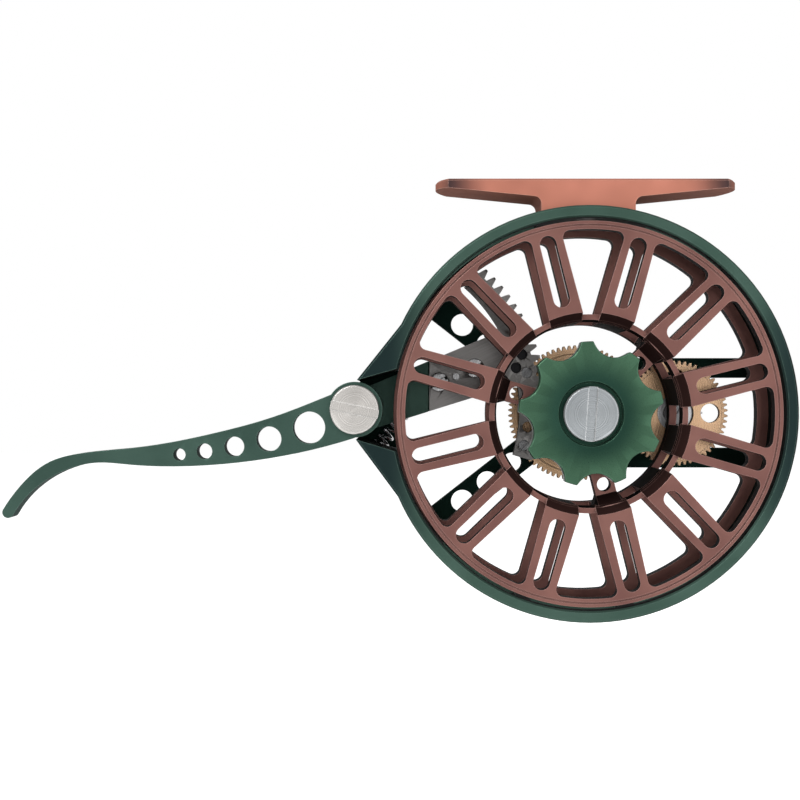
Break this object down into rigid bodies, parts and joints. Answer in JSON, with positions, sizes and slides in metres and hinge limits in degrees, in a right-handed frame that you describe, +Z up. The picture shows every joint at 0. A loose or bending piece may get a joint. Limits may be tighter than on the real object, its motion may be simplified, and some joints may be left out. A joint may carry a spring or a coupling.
{
  "type": "fly reel",
  "caption": "Semi-automatic fly reel: a finger lever drives a toothed sector and gear train that wind a skeleton spool in a ring frame on a saddle foot.",
  "frame": {"origin": "centre of the flat seat on top of the foot, where it meets the rod's reel seat", "axes": "+X along the rod, away from the lever; +Y from the drag knob to the back plate, along the reel's axis; +Z up towards the rod"},
  "size_m": [0.168, 0.0352, 0.0939],
  "materials": {
    "green_anodised": "satin anodised",
    "dark_green_anodised": "satin anodised",
    "knob_green": "satin anodised",
    "copper_anodised": "satin anodised",
    "brass": "machined",
    "bronze": "machined",
    "steel": "turned",
    "sector_steel": "tumbled",
    "dark_steel": "blued",
    "black_steel": "blackened",
    "silver": "turned and brushed",
    "friction": "matte"
  },
  "bodies": {
    "frame_body": {"frame": "green_anodised", "back_plate": "dark_green_anodised", "plate_screws": "steel", "foot": "copper_anodised", "foot_screws": "steel", "main_shaft": "steel", "shaft_nut": "steel", "idler_axle": "steel", "idler_nut": "steel", "idler_screw": "dark_steel", "thrust_washers": "bronze", "pressure_disc": "steel", "cone_washer": "steel", "knob_screw": "silver", "pivot_bolt": "silver", "bearing_inner": "steel", "return_spring": "black_steel"},
    "lever_body": {"lever": "green_anodised", "lever_bushes": "bronze", "sector": "sector_steel", "sector_screws": "steel", "sector_pin": "steel", "rim_screws": "dark_steel"},
    "first_wheel": {"first_gear": "brass", "drive_pinion": "steel", "first_bush": "bronze"},
    "idler_wheel": {"idler_gear": "brass", "idler_pinion": "steel"},
    "spool_pinion_body": {"spool_pinion": "steel"},
    "spool_body": {"spool": "copper_anodised", "clutch_cup": "steel", "clutch_rollers": "steel", "bearing_outer": "steel", "bearing_balls": "steel", "hub_circlip": "black_steel", "friction_disc": "friction"},
    "knob_body": {"drag_knob": "knob_green"}
  },
  "joints": [
    {"name": "lever_pull", "type": "hinge", "parent": "frame_body", "child": "lever_body", "pos_m": [-0.04959, -0.00975, -0.04901], "axis": [0, 1, 0], "range_deg": [0, 35], "stiffness_Nm_per_rad": 0.25, "springref_deg": -22.92, "deforming": ["return_spring"]},
    {"name": "first_wheel_spin", "type": "hinge", "parent": "frame_body", "child": "first_wheel", "pos_m": [0, -0.00975, -0.0499], "axis": [0, 1, 0], "range_deg": [-194, 0]},
    {"name": "idler_spin", "type": "hinge", "parent": "frame_body", "child": "idler_wheel", "pos_m": [0.0216, -0.00975, -0.0499], "axis": [0, 1, 0], "range_deg": [0, 440]},
    {"name": "spool_pinion_spin", "type": "hinge", "parent": "frame_body", "child": "spool_pinion_body", "pos_m": [0, -0.00975, -0.0499], "axis": [0, 1, 0], "range_deg": [-492, 0]},
    {"name": "spool_spin", "type": "hinge", "parent": "frame_body", "child": "spool_body", "pos_m": [0, -0.00975, -0.0499], "axis": [0, 1, 0], "continuous": true},
    {"name": "knob_turn", "type": "hinge", "parent": "frame_body", "child": "knob_body", "pos_m": [0, -0.00975, -0.0499], "axis": [0, 1, 0], "range_deg": [0, 270]}
  ],
  "couplings": [
    {"joint": "first_wheel_spin", "follows": "lever_pull", "ratio": -5.5263},
    {"joint": "idler_spin", "follows": "lever_pull", "ratio": 12.56},
    {"joint": "spool_pinion_spin", "follows": "lever_pull", "ratio": -14.037}
  ]
}
